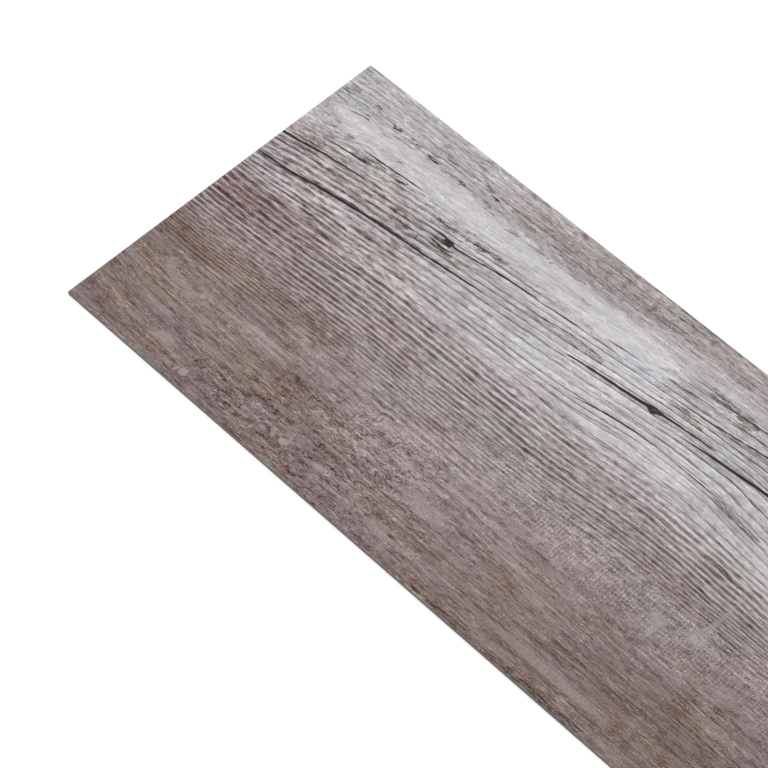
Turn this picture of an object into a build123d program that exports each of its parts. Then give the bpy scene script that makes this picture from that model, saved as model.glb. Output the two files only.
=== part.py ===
from build123d import *
import os

# A self-adhesive vinyl floor plank as it leaves its box: a printed, embossed PVC plank with
# the release liner still on its glue side. It lies face up on the floor. The origin is the
# middle of the liner's underside, +X runs along the plank, +Y across it and +Z up through
# the printed face. All sizes are in millimetres.

# Plank: 36 by 6 inches of 2 mm vinyl, wear layer, print and glue included
plank_length = 914.4
plank_width = 152.4
plank_thickness = 2.0
arris_radius = 0.25  # the die rolls the edge of the face over a little as it cuts

# Release liner: siliconised paper, cut through with the plank by the same die
liner_thickness = 0.12

# Heights, from the floor up
glue_face_height = liner_thickness
printed_face_height = glue_face_height + plank_thickness


def die_cut_blank(bottom, top):
    """A flat layer between two heights with the outline that the die gives both pieces."""
    with BuildPart() as blank:
        with BuildSketch(Plane.XY.offset(bottom)):
            Rectangle(plank_length, plank_width)
        extrude(amount=top - bottom)
    return blank.part


def vinyl_plank():
    """The plank: square cut edges and ends, and the arris around its printed face rolled over."""
    blank = die_cut_blank(glue_face_height, printed_face_height)
    face_arrises = blank.faces().sort_by(Axis.Z)[-1].edges()
    return fillet(face_arrises, arris_radius)


def release_liner():
    """The paper that is peeled off before laying, flush with the plank all the way round."""
    return die_cut_blank(0, glue_face_height)


pieces = {
    "vinyl_plank": vinyl_plank(),
    "release_liner": release_liner(),
}

os.makedirs("parts", exist_ok=True)
for name, piece in pieces.items():
    piece.label = name
    export_step(piece, f"parts/{name}.step")
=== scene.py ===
import math

import bpy
import numpy as np
from bpy.props import FloatProperty, FloatVectorProperty, IntProperty, PointerProperty
from mathutils import Matrix, Vector


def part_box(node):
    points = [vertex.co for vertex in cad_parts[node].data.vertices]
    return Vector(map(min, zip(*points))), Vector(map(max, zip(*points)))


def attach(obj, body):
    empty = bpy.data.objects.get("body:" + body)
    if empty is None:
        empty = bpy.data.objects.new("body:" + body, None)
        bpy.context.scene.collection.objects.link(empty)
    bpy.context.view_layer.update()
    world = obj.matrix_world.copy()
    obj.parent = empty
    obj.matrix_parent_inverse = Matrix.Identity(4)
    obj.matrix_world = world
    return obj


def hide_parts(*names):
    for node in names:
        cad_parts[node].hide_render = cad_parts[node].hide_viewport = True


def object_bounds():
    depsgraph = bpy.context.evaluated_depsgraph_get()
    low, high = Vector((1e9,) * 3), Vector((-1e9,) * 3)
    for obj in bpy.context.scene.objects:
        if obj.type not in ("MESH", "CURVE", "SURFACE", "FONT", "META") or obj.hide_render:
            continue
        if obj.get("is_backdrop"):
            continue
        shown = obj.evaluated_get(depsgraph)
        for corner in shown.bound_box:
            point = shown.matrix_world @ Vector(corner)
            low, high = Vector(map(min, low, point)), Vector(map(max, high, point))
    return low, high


bl_info = {
    "name": "Peel and stick vinyl plank",
    "version": (1, 0, 0),
    "blender": (4, 5, 0),
    "location": "3D View > Sidebar > Plank",
    "description": "A self-adhesive vinyl floor plank with a weathered wood print, on its release liner",
    "category": "Add Mesh",
}

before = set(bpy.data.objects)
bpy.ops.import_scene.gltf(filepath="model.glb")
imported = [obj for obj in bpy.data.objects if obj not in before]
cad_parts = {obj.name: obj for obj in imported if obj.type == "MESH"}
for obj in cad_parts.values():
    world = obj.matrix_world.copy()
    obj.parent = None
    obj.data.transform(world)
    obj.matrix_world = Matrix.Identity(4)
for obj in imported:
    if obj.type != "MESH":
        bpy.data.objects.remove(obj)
CAD_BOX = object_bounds()
PLANK_LOW, PLANK_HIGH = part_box("vinyl_plank")
MM = 0.001

# The plank's outline in millimetres. Places on it are given by s, the distance from its left
# end, y, the distance from its centre line, and v, the grain line that runs through the place.
LENGTH = (PLANK_HIGH[0] - PLANK_LOW[0]) / MM
HALF_WIDTH = (PLANK_HIGH[1] - PLANK_LOW[1]) / MM / 2
FACE_Z = PLANK_HIGH[2] / MM
GLUE_Z = PLANK_LOW[2] / MM

# How bright the stage's light is: the print's colours are set as they look in it, on a display
# with this gamma
LIGHT = 1.3
DISPLAY_GAMMA = 2.2

# Cracks, mm: how far from one its distance and its breadth are kept, the distance that stands
# for none near, the slope beside it and the half breadth from which it has its full depth
CRACK_REACH, CRACK_CORE, CRACK_FAR = 3.0, 1.9, 30.0
CRACK_SLOPE, CRACK_FULL = 0.45, 0.35

# Flecks, in half lengths and half breadths: how far their place and their depth are kept, and
# the place that stands for none near. A fleck of depth 1 is dented by so many mm.
FLECK_REACH, FLECK_CORE, FLECK_FAR = 3.0, 1.9, 9.0
FLECK_DENT = 0.10

# Distance between two saw marks, mm
SAW_PITCH = 1.5

# Random heights along each side of the lattice behind the soft patches
LATTICE = 97

# Share of the mesh's cells that lie in the first third of the plank, where the cracks curl
FIRST_THIRD = 0.46


def card(red, green, blue):
    """A colour card's 0 to 255 values as 0 to 1."""
    return tuple(c / 255 for c in (red, green, blue))


def tint_setting(name, description, *default):
    """A colour setting, its default as a colour card's values."""
    return FloatVectorProperty(
        name=name, description=description, subtype="COLOR_GAMMA", default=card(*default), min=0.0, max=1.0)


# Settings

class PlankSettings(bpy.types.PropertyGroup):
    cells_along: IntProperty(
        name="Cells along", description="Mesh cells along the plank", default=326, min=40, max=330)
    rib_pitch: FloatProperty(
        name="Rib pitch", description="Distance between two ribs of the weathered grain, mm",
        default=2.1, min=1.8, max=6.0)
    rib_depth: FloatProperty(
        name="Rib depth", description="Depth of the furrows between the ribs, mm",
        default=0.09, min=0.0, max=0.2)
    crack_depth: FloatProperty(
        name="Crack depth", description="Depth of the embossed cracks, mm", default=0.16, min=0.0, max=0.4)
    arris_radius: FloatProperty(
        name="Arris radius", description="Roll-over that the die leaves around the face, mm",
        default=0.25, min=0.05, max=0.5)
    wear_layer: FloatProperty(
        name="Wear layer", description="Thickness of the clear layer that shows at the cut edge, mm",
        default=0.3, min=0.05, max=0.6)
    limed: tint_setting("Limed grey", "Middle grey as the limed wood tints it", 127.4, 124.9, 130.2)
    mauve: tint_setting("Mauve grey", "Middle grey as the sawn wood tints it", 137.6, 122.2, 122.8)
    olive: tint_setting("Olive brown", "Middle grey as the yellowish brown patches tint it", 142, 125, 115.6)
    lichen: tint_setting("Lichen grey", "Middle grey as the greenish patches tint it", 132, 126.5, 124)
    russet: tint_setting("Russet", "Middle grey as the reddish brown patches tint it", 141, 121.5, 120)
    crack: tint_setting("Crack", "Bottom of the cracks and knots", 30, 14, 15)
    # The cut edge's colour is the filled vinyl's grey, darkened further with painted shade
    edge: tint_setting("Cut edge", "Filled vinyl at the cut edge", 100, 97, 96)
    wear: tint_setting("Wear layer edge", "Clear layer at the cut edge", 136, 132, 130)


class LinerSettings(bpy.types.PropertyGroup):
    paper: FloatVectorProperty(
        name="Paper", description="Colour of the release paper", subtype="COLOR",
        default=(0.72, 0.70, 0.64), min=0.0, max=1.0)


class StageSettings(bpy.types.PropertyGroup):
    azimuth: FloatProperty(
        name="Azimuth", description="Where the camera stands, from straight in front towards the right end",
        subtype="ANGLE", default=math.radians(45.55))
    elevation: FloatProperty(
        name="Elevation", description="Height of the camera above the floor, as an angle",
        subtype="ANGLE", default=math.radians(55.365))
    distance: FloatProperty(
        name="Distance", description="From the camera to the printed face, mm", default=1094.55, min=200.0)
    aim_along: FloatProperty(
        name="Aim along", description="Aimed at this distance from the left end, mm", default=108.75)
    aim_across: FloatProperty(
        name="Aim across", description="Aimed at this distance from the centre line, mm", default=-23.41)
    lens: FloatProperty(
        name="Lens", description="Focal length on a 36 mm sensor, mm", default=145.42, min=10.0)
    sky: FloatProperty(
        name="Sky", description="Strength of the even light from all around", default=0.84, min=0.0)
    key: FloatProperty(
        name="Key", description="Power of the large soft light overhead", subtype="POWER",
        default=21.5, min=0.0)
    floor: FloatVectorProperty(
        name="Floor", description="Colour of the floor", subtype="COLOR", default=(0.97, 0.97, 0.97),
        min=0.0, max=1.0)


# The wood figure

# How far the grain has climbed, mm, at places along the plank, and the share of that climb
# that each grain line takes: all of it in the cracked upper half, none at the edges.
CLIMB_PLACES = (-40, 0, 25, 50, 76, 100, 141, 190, 235, 290, 380, 480, 580, 680, 780, 860, 960)
CLIMB = (-6.5, 0, 4.1, 7.5, 10, 12.4, 15.9, 20.6, 23.3, 23, 17, 9, 6, 10, 15, 12, 7)
CLIMB_LINES = (-90, 4, 10, 14, 18, 27, 38, 62, 72, 90)
CLIMB_SHARE = (0, 0, 0.25, 0.6, 0.97, 0.97, 0.94, 0.12, 0, 0)

# The same for the gentler climb of the ribs in the middle
SWELL_PLACES = (-40, 0, 20, 40, 60, 80, 100, 150, 165, 180, 200, 220, 240, 260, 300, 380, 480, 580,
                680, 780, 860, 960)
SWELL = (-1, 0, 0.6, 1.9, 3.6, 4.9, 5.3, 6.2, 6.5, 7.4, 9.4, 10.6, 10.1, 9.0, 7.5, 6, 7.5, 11, 8, 4, 6, 8)
SWELL_LINES = (-90, -37, -26, -14, 4, 10, 14, 18, 90)
SWELL_SHARE = (0, 0, 0.95, 1, 1, 0.75, 0.4, 0, 0)

# Local waves in the grain: place along, grain line, height, half length, half breadth
WAVES = (
    (197, 12, 2.6, 33, 8), (274, 9, -2.5, 42, 8), (295, -26, 4.5, 50, 8), (-8, -60, 4.5, 28, 14),
    (-10, 42, -3.6, 42, 9), (430, -14, 4.0, 45, 9), (520, 22, -3.5, 40, 9), (610, 2, 5.0, 38, 9),
    (735, -28, 4.5, 48, 10), (820, 6, -4.0, 40, 8),
)

# Distance between ribs, as a share of the pitch in the ribbed zone, at grain lines
PITCH_LINES = (-77, -35, -33, -19, -16, 7, 9, 18, 20, 38, 42, 77)
PITCH_SHARE = (1.6, 1.6, 0.7, 0.7, 1.17, 1.17, 0.8, 0.8, 1.25, 1.25, 1.45, 1.45)

# Cracks, as points (place along, height y, half breadth) in mm: the open ones, their branches, the
# hair-thin ones in the pale wood and the torn lines in the old paint
CRACKS = (
    ((-4, 17.4, 0.28), (1, 17.7, 0.28), (16, 19.0, 0.30), (25, 20.8, 0.48), (36, 22.5, 0.52),
     (48, 24.1, 0.38), (61, 25.6, 0.34), (77, 26.9, 0.36), (84, 27.7, 0.32), (93, 28.6, 0.28),
     (102, 29.6, 0.16), (108, 30.0, 0.0)),
    ((-4, 30.0, 0.28), (10, 31.8, 0.30), (19, 33.6, 0.26), (33, 35.4, 0.20), (44, 36.5, 0.0)),
    ((60, 37.0, 0.0), (68, 37.4, 0.10), (76, 38.4, 0.20), (79, 38.2, 0.26), (83.5, 37.0, 0.30),
     (91, 38.0, 0.22), (100, 39.7, 0.22), (114, 41.4, 0.22), (125, 42.7, 0.0)),
    ((71.5, 36.3, 0.0), (75, 35.5, 0.18), (78, 35.3, 0.20), (81, 35.9, 0.24), (83, 36.6, 0.0)),
    ((70.5, 34.8, 0.0), (75, 34.1, 0.14), (79, 33.8, 0.24), (82.5, 34.1, 0.24), (85, 35.0, 0.12),
     (86, 35.8, 0.0)),
    ((71, 32.6, 0.0), (77, 32.3, 0.14), (83, 32.8, 0.12), (88, 33.6, 0.0)),
    ((127, 42.5, 0.0), (131, 42.8, 0.14), (136, 43.4, 0.18), (142, 43.8, 0.0)),
    ((80, 45.3, 0.0), (89, 46.4, 0.06), (101, 47.2, 0.0)),
    ((107, 45.0, 0.0), (117, 45.6, 0.05), (126, 46.7, 0.06), (136, 48.5, 0.06), (147, 51.4, 0.0)),
    ((149, 47.0, 0.0), (153, 47.3, 0.13), (161, 48.3, 0.12), (171, 49.0, 0.0)),
    ((171, 49.3, 0.0), (179, 50.2, 0.09), (186, 50.7, 0.15), (193, 51.6, 0.08), (216, 52.8, 0.14),
     (240, 54.5, 0.18), (262, 55.6, 0.0)),
    ((168, 52.4, 0.0), (183, 53.6, 0.09), (200, 55.5, 0.14), (217, 57.4, 0.14), (236, 59.3, 0.12),
     (250, 60, 0.0)),
    ((184, 44.9, 0.0), (198, 46.2, 0.14), (214, 48.4, 0.20), (224, 49.9, 0.22), (244, 51.3, 0.10),
     (255, 51.8, 0.0)),
    ((139, 31.3, 0.0), (146, 32.1, 0.16), (151, 33.0, 0.24), (159, 33.9, 0.38), (167, 34.7, 0.44),
     (175, 35.5, 0.50), (183, 36.9, 0.60), (187, 37.1, 0.36), (195, 37.9, 0.28), (204, 38.6, 0.24),
     (214, 39.4, 0.0)),
    ((190, 34.2, 0.0), (198, 34.8, 0.08), (206, 35.8, 0.24), (214, 36.5, 0.40), (228, 37.8, 0.48),
     (240, 38.6, 0.46), (262, 39.8, 0.30), (282, 40, 0.0)),
    ((153, 19.4, 0.0), (161, 20.8, 0.12), (171, 23.2, 0.20), (176, 24.0, 0.24), (184, 25, 0.16),
     (195, 25.5, 0.12), (221, 25.2, 0.14), (240, 24.0, 0.0)),
    ((118, 16.0, 0.0), (140, 16.2, 0.08), (152, 15.9, 0.09), (162, 16.8, 0.08), (170, 18.2, 0.10),
     (178, 19.6, 0.09), (190, 20.6, 0.08), (206, 21.9, 0.0)),
    ((172, 14.4, 0.0), (184, 15.6, 0.08), (200, 16.3, 0.08), (212, 16.7, 0.10), (221, 16.8, 0.0)),
    ((158, 11.4, 0.0), (172, 13.0, 0.08), (185, 14.0, 0.09), (200, 14.6, 0.08), (216, 15.0, 0.0)),
    ((150, 23.4, 0.0), (165, 26.0, 0.07), (178, 28.0, 0.10), (190, 29.0, 0.08), (215, 29.2, 0.08),
     (236, 28.5, 0.0)),
    ((25, 45.0, 0.0), (29, 45.2, 0.10), (36, 45.9, 0.20), (50, 47.1, 0.20), (62, 47.9, 0.0)),
    ((10, 39.0, 0.0), (16, 39.7, 0.12), (22, 40.4, 0.15), (31, 41.3, 0.20), (36, 41.6, 0.0)),
    ((53, 41.3, 0.0), (60, 42.0, 0.08), (66, 42.5, 0.10), (72, 42.9, 0.0)),
    ((118, 37.0, 0.0), (128, 37.4, 0.10), (138, 39.0, 0.14), (150, 39.8, 0.12), (158, 40.1, 0.0)),
    ((-4, 57.2, 0.10), (0, 57.3, 0.12), (3, 57.3, 0.10), (5.5, 56.8, 0.0)),
    ((9, 54.7, 0.0), (11, 54.7, 0.14), (13, 56.0, 0.14), (16, 56.3, 0.12), (18.3, 57.2, 0.16),
     (20.2, 56.0, 0.0)),
    ((14, 60.0, 0.0), (18, 60.3, 0.08), (24, 60.8, 0.08), (27, 60.6, 0.0)),
    ((24, 57.8, 0.0), (32, 58.3, 0.10), (41, 59.0, 0.10), (44, 59.3, 0.0)),
    ((44.5, 62.2, 0.0), (46.5, 60.7, 0.12), (50, 60.1, 0.22), (52.3, 60.4, 0.20), (53.6, 61.6, 0.0)),
    ((26.5, 62.4, 0.0), (28, 61.0, 0.14), (30, 60.8, 0.16), (31.5, 61.8, 0.12), (32.2, 62.3, 0.0)),
    ((170, -75.7, 0.0), (182, -74.5, 0.07), (200, -74.0, 0.08), (225, -73.1, 0.09), (240, -73.3, 0.09),
     (246, -74.3, 0.08), (249, -75.8, 0.0)),
    ((192, -69.0, 0.0), (210, -69.6, 0.07), (232, -69.4, 0.09), (262, -69.8, 0.08), (290, -69.2, 0.0)),
    ((39, 49.6, 0.0), (40.4, 50.4, 0.12), (41.3, 51.5, 0.16), (42.6, 51.1, 0.12), (43.6, 50.6, 0.0)),
    ((51, 64.2, 0.0), (54, 64.9, 0.14), (58, 65.1, 0.14), (59.5, 65.0, 0.0)),
    ((74, 64.7, 0.0), (77, 64.3, 0.12), (79.5, 63.8, 0.22), (81, 64.1, 0.0)),
    ((87.5, 55.9, 0.0), (91, 56.2, 0.10), (93, 56.9, 0.12), (96, 57.3, 0.10), (98.5, 57.0, 0.0)),
    ((101.5, 48.4, 0.0), (103.5, 48.9, 0.12), (106.5, 49.1, 0.0)),
)

# Cracks on the rest of the plank run with the grain: place of their middle, grain line there,
# half length and half breadth, mm
CRACKS_WITH_THE_GRAIN = (
    (372, 31, 58, 0.42), (352, 20, 30, 0.22), (420, 39, 40, 0.24), (470, 25, 46, 0.30),
    (505, 34, 24, 0.20), (556, 19, 36, 0.26), (590, 30, 52, 0.46), (642, 38, 30, 0.22),
    (668, 22, 28, 0.20), (716, 29, 56, 0.36), (752, 39, 26, 0.20), (790, 20, 44, 0.30),
    (838, 32, 40, 0.44), (884, 25, 34, 0.26), (900, 38, 22, 0.20),
)

# Knots, pits and smudges: place along, height y, half length, half breadth, depth of tone. A
# breadth below 0 turns the fleck over, so that its dark outline, mostly painted shade, is on the
# upper side.
FLECKS = (
    (80.7, 36.9, 2.6, 1.5, 1.0), (183.2, 36.5, 3.0, 1.5, 1.0), (44, 37.6, 3.2, 0.8, 0.5),
    (14, 11.3, 7, 1.0, 0.4), (33, 12.6, 5, 1.0, 0.4), (54, 12.6, 4.5, 0.9, 0.4), (39, 8.6, 4, 1.0, 0.4),
    (57.5, 9.8, 2.6, 0.7, 0.4), (90, 8.2, 3.6, 1.0, 0.4), (78, 13.6, 3.6, 0.8, 0.35),
    (88, -2.2, 5, 0.8, 0.35), (4.5, 64.2, 2.6, 1.1, 0.5), (3, 60.8, 2.2, 0.5, 0.5),
    (4, 56.9, 3.2, 0.5, 0.5), (74, 65.5, 2.6, 1.2, 0.45), (63.5, 65.6, 2.8, 0.9, 0.4),
    (87.5, 65, 1.6, 1.5, 0.4), (97, 63.3, 2.6, 1.3, 0.42), (111, 63.4, 3.0, 0.7, 0.45),
    (116.5, 62.3, 3.6, 0.6, 0.5), (113.5, 74, 1.4, 0.9, 0.5), (113, 57.2, 1.0, 0.9, 0.5),
    (64.5, 60.3, 1.6, 1.1, 0.6), (78.5, 59.6, 1.3, 0.6, 0.5), (73, 59.2, 3.0, 0.4, 0.4),
    (81, 58.0, 3.4, 0.5, 0.5), (94, 57.8, 1.7, 0.6, 0.5), (101, 57.3, 3.0, 0.5, 0.4),
    (107, 57.8, 1.8, 0.5, 0.4), (125, 58.6, 3.0, 0.5, 0.45), (96, 70.5, 4.0, 0.6, 0.35),
    (56, 59.4, 1.6, 0.5, 0.35), (134, 53.4, 2.4, 0.8, 0.3), (127, 59, 2.0, 0.6, 0.4),
    (152, 38.2, 4.4, 1.1, 0.5), (240, 22.6, 7.0, 0.8, 0.35), (243, 15.8, 4.0, 0.7, 0.35),
    (17, 63.8, 1.7, 0.7, 0.8), (29, 61.6, 2.3, 0.8, 0.8), (37.6, 61.3, 2.6, 1.0, 0.4),
    (49, 61.5, 3.6, 1.5, 0.6), (79, 63.8, 1.2, 0.5, 0.6), (17, 58.3, 1.2, 0.5, 0.6),
    (28.5, 56.2, 2.0, 0.4, 0.5), (12, 34.8, 5.0, 2.4, 0.45), (28, 42.3, 3.4, 1.2, 0.45),
    (36, 43.4, 4.6, 1.3, 0.6), (48, 44.9, 2.8, 1.3, 0.7), (75, 42.4, 5.6, 1.4, 0.6),
    (89.5, 43.6, 2.8, 1.4, 0.7), (98, 45.0, 5.6, 1.2, 0.6), (57, 34, 4.5, 1.0, 0.45),
    (62, 31.0, 4.8, 1.8, 0.45), (26, 30, 5, 1.2, 0.4), (12, 28.8, 4, 1.1, 0.4), (80, 32.2, 6, 1.2, 0.45),
    (150, 38.0, 7.0, 1.6, 0.45), (129, 36.6, 6, 1.1, 0.35), (187, 43.4, 6.0, 1.5, 0.5),
    (197, 42.6, 3.4, 1.6, 0.35), (197, 57.0, 5.0, 2.4, 0.55), (210, 55.6, 4.4, 2.6, 0.55),
    (160, 12.4, 8.0, 1.0, 0.35), (112, 24.4, 3.0, 0.9, 0.4), (128, 63.6, 12, 1.2, 0.25),
    (160, 68, 14, 1.4, 0.25), (183, 50.8, 4, 0.6, 0.4), (228, 23.4, 5, 1.8, 0.35),
    (64, 37.2, 5, 0.8, 0.3), (40, 27, 5, 0.9, 0.35), (8, 21.5, 4, 0.8, 0.35), (50, 38.4, 4, 0.9, 0.4),
    (100, 36.6, 4.5, 0.9, 0.35), (137, -22.2, 8, 0.45, 0.35), (107, -58.0, 5, -1.0, 0.22),
    (116, -57.6, 4, -1.1, 0.26), (95, -61, 4, 0.6, 0.16), (133, -47.4, 7, 0.5, 0.2),
    (130, -43.6, 5, 0.5, 0.2), (127, -60.5, 6, -1.8, 0.18), (155, -66.5, 2.0, -1.4, 0.22),
    (10, -71.2, 1.8, 1.6, 0.2), (22, -68, 6, 0.5, 0.24), (16, -45.6, 5, 0.5, 0.2),
    (68, -47.2, 3.4, 0.5, 0.2), (65, -58.2, 4, 0.7, 0.22), (85, -58.4, 7, 0.7, 0.16),
    (101, -45, 3.4, -1.4, 0.16), (113, -72.6, 1.8, 0.8, 0.3), (101, -73.2, 1.6, 0.7, 0.25),
    (147, -55.4, 10, 0.5, 0.25), (143, -64.8, 2.2, 1.6, 0.16), (30, -60.2, 7, 0.4, 0.22),
    (212, -75.4, 36, -1.8, 0.26), (185, -65.8, 8, 0.6, 0.15), (192, -54.5, 16, 0.5, 0.2),
    (247, -55.6, 22, 0.5, 0.16),
)

# Smooth spots paler than the wood round them, in the same terms
PALE_SPOTS = (
    (228, -66.0, 30, 2.0, 0.45), (55.4, -70.5, 2.3, 1.9, 0.75), (101.8, -65.7, 2.4, 1.6, 0.7),
    (40, -65, 4.6, 2.4, 0.5), (92, -66.6, 2.2, 1.2, 0.45), (154, -49.8, 13, 3.4, 0.25),
    (256, -21, 4.0, 3.6, 0.36), (256.6, -10, 0.9, 8, 0.36), (242.8, -29.5, 1.6, 4.4, 0.4),
    (241.6, -24.6, 4.0, 1.6, 0.32), (150, -67, 7, 2.6, 0.35), (135, -63.5, 3.2, 1.6, 0.35),
    (262, -22, 5.0, 1.0, 0.2), (118, -64.4, 3.6, 1.3, 0.5), (48, -71.6, 3, 1, 0.35),
    (104, -60.4, 4, 1.6, 0.3), (66, -39.6, 12, 1.0, 0.4), (97, -55.8, 12, 0.9, 0.35),
    (120, -55.6, 10, 0.8, 0.4), (60, -56.6, 14, 1.0, 0.25), (28, -53, 12, 1.2, 0.25),
    (196, -66.5, 14, 1.2, 0.3), (135, -68.5, 3.6, 1.6, 0.35), (124, -43.4, 3.4, 1.2, 0.4),
)

# Tone of the print, 0 to 255, across the plank: by the left end and some 200 mm from it. The
# tone swings between the two along the rest of the plank. These tones, the tint shares and the
# patches below were given and then corrected several times against the photo's mean
# brightness and tint in zones of 20 by 10 mm.
TONE_LINES = (-76, -58, -44, -36, -29, -20, -6, 4, 11, 24, 34, 44, 52, 59, 66, 76)
TONES_LEFT = (113, 116, 120, 120, 111, 134, 145, 144, 166, 174, 174, 195, 199, 186, 196, 193)
TONES_RIGHT = (119, 121, 130, 135, 142, 146, 147, 158, 191, 206, 196, 195, 203, 193, 171, 160)
SWING_PLACES = (0, 60, 110, 160, 330, 450, 560, 700, 800, 914)
SWING = (0, 0.3, 0.8, 1, 1, 0.4, 0, 0.7, 1, 0.5)

# How much of the mauve tint the print has on the same lines
WARMTH_LEFT = (1, 1, 1, 1, 1, 1, 0.85, 0.7, 0.55, 0.65, 0.6, 0.25, 0, 0, 0.05, 0.1)
WARMTH_RIGHT = (1, 1, 1, 1, 0.95, 0.85, 0.8, 0.75, 0.3, 0.05, 0.05, 0.15, 0.05, 0.1, 0.5, 0.75)

# Patches lighter or darker than that: place along, height y, half length, half width, change.
# Some lie over one another, where a tone was corrected again.
PATCHES = (
    (12, -1, 12, 9, -28), (36, -1, 10, 8, -8), (275, -48, 55, 24, -14), (112, 65, 34, 7, -13),
    (118, -30, 30, 6, 9), (58, 71, 50, 5, 5), (132, -43, 20, 6, 8), (220, -9, 50, 6, -8),
    (233, 26, 12, 8, -12), (8, 31, 14, 5, 1), (60, 31, 22, 8, -8), (88, 12, 16, 8, 8),
    (72, -22, 18, 6, -16), (24, 22, 9, 9, 6), (90, -48, 16, 5, -15), (112, -58, 16, 4, -9),
    (14, -66, 22, 5, -5), (52, -55, 14, 3, 8), (196, -63, 10, 2, -9), (2, -20, 12, 6, -8),
    (8, -30, 16, 4, -6), (205, -75, 40, 2, -9), (262, -54, 22, 5, -7), (172, -60, 6, 3, -6),
    (246, -14, 26, 8, -6), (152, 58, 24, 5, 6), (194, 55, 15, 7, 7), (172, 61, 20, 6, 9),
    (70, 55, 40, 5, 4), (8, 48, 9, 4, -10), (86, -71, 16, 5, -10), (280, -40, 30, 6, -4),
    (160, 41, 26, 5, 14), (225, 13, 26, 7, -7), (44, 50, 10, 3, -7), (44, 40, 9, 4, 7),
    (92, 40, 14, 4, 6), (40, 20, 10, 4, 9), (140, 20, 14, 4, 6), (20, 10, 11, 4, 14),
    (210, -51, 22, 4, -5), (60, -40, 12, 4, 12), (226, 20, 18, 5, -9), (246, 7, 12, 5, -17),
    (148, -30, 16, 5, 9), (100, -45, 14, 6, -7), (84, -60, 14, 5, -7), (205, -67, 22, 5, -7),
    (104, 51, 14, 4, -7), (198, 20, 14, 4, 8), (84, 0, 12, 5, 6), (132, 61, 16, 4, -9),
    (205, 60, 12, 5, 9), (188, 38, 20, 6, 4), (3, 60, 8, 4, 7), (2, 70, 10, 6, -5), (102, 60, 9, 4, 6),
    (40, 42, 10, 4, 6), (100, 41, 12, 4, 6), (168, 40, 12, 4, 5), (46, 21, 14, 4, 7), (180, 20, 8, 4, -8),
    (84, -20, 9, 4, -7), (14, -31, 14, 4, -5), (82, -40, 10, 4, 5), (240, -42, 14, 4, -5),
    (122, -50, 12, 4, 6), (163, -53, 11, 6, 6), (165, -65, 14, 5, 5), (226, 16.5, 7, 2, 8),
    (240, 13.5, 8, 1.8, 11), (254, 9.5, 8, 2, 12), (240, 20, 14, 3, -8), (20, 10, 9, 4, 6),
    (52, 20, 14, 4, 5), (140, 61, 10, 4, -6), (42, 40, 8, 4, 6), (42, 51, 8, 4, -5), (110, 50, 14, 4, -4),
    (3, -20, 10, 4, -6), (82, -21, 9, 4, -5), (132, -20, 14, 4, -5), (22, -31, 9, 4, -5),
    (100, -30, 9, 4, 5), (200, -30, 9, 4, -4), (222, -41, 9, 4, 5), (101, -61, 9, 4, 4),
    (262, -10, 10, 5, -6), (420, -52, 50, 8, -6), (510, -28, 34, 6, 8), (602, -60, 44, 5, 7),
    (655, -8, 30, 9, -10), (780, -46, 40, 6, 6), (850, -66, 30, 5, -7), (560, 50, 30, 6, -14),
    (700, 58, 40, 6, 8), (420, 58, 36, 6, -10), (880, 48, 30, 7, -8),
)

# Patches of the other fields in the same terms: more or less olive, russet or lichen tint, chips,
# blisters, saw marks and smudges
OLIVE_PATCHES = (
    (26, -28, 52, 6, 0.9), (50, -50, 60, 7, 0.4), (142, -44, 28, 10, -0.6), (88, -49, 18, 6, 0.4),
    (72, -22, 16, 5, 0.3), (62, -30, 18, 6, -0.25), (40, -60, 16, 5, -0.3), (176, -60, 26, 12, -0.3),
    (150, 74, 60, 11, 0.22),
)
RUSSET_PATCHES = ((12, -1, 13, 7, 0.9), (36, -2, 11, 9, 0.4))
LICHEN_PATCHES = (
    (150, -10, 60, 10, 0.8), (112, -25, 16, 5, 0.5), (256, -18, 6, 9, 0.7), (243, -28, 5, 7, 0.7),
    (238, 20, 20, 7, 0.8), (225, 2, 36, 7, 0.4),
)
CHIP_PATCHES = ((206, 56, 13, 6, 0.8), (190, 43.4, 8, 2.4, 0.7))
BLISTER_PATCHES = (
    (120, -58, 42, 20, 1), (70, -66, 20, 8, 0.5), (128, -40, 26, 8, 0.5), (455, -48, 50, 16, 1),
    (690, -62, 50, 14, 1),
)
SAW_PATCHES = ((228, -25, 66, 9, 1), (500, -30, 60, 10, 1), (850, -30, 60, 12, 1))
SMUDGE_PATCHES = (
    (40, 31, 70, 16, 1), (210, 50, 40, 11, 0.8), (40, 2, 60, 18, 0.5), (420, 44, 60, 14, 1),
    (600, 30, 80, 16, 1), (850, 36, 70, 14, 1),
)


def eased(x, places, heights, spread):
    """A profile given by a few points: straight runs between them, each value the mean of the
    run's heights over a window of plus and minus spread, which rounds its corners."""
    window = np.linspace(-spread, spread, 9)
    return sum(np.interp(x + d, places, heights) for d in window) / len(window)


def clouds(s, y, length, width, seed):
    """Soft random patches from -1 to 1: random heights on a lattice of length by width mm,
    joined by smoothstep in both directions."""
    heights = np.random.default_rng(seed).uniform(-1, 1, (LATTICE, LATTICE))
    i, j = s / length + 0.37, y / width + 0.61
    i0, j0 = np.floor(i).astype(int), np.floor(j).astype(int)
    fi, fj = i - i0, j - j0
    fi, fj = fi * fi * (3 - 2 * fi), fj * fj * (3 - 2 * fj)

    def corner(a, b):
        return heights[(i0 + a) % LATTICE, (j0 + b) % LATTICE]

    near = corner(0, 0) * (1 - fi) + corner(1, 0) * fi
    far = corner(0, 1) * (1 - fi) + corner(1, 1) * fi
    return near * (1 - fj) + far * fj


def patch(s, y, along, across, half_length, half_width):
    """1 at the middle of an oval patch, a half at its rim and 0 well outside it."""
    r2 = ((s - along) / half_length) ** 2 + ((y - across) / half_width) ** 2
    return 1 / (1 + r2 ** 2)


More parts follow.
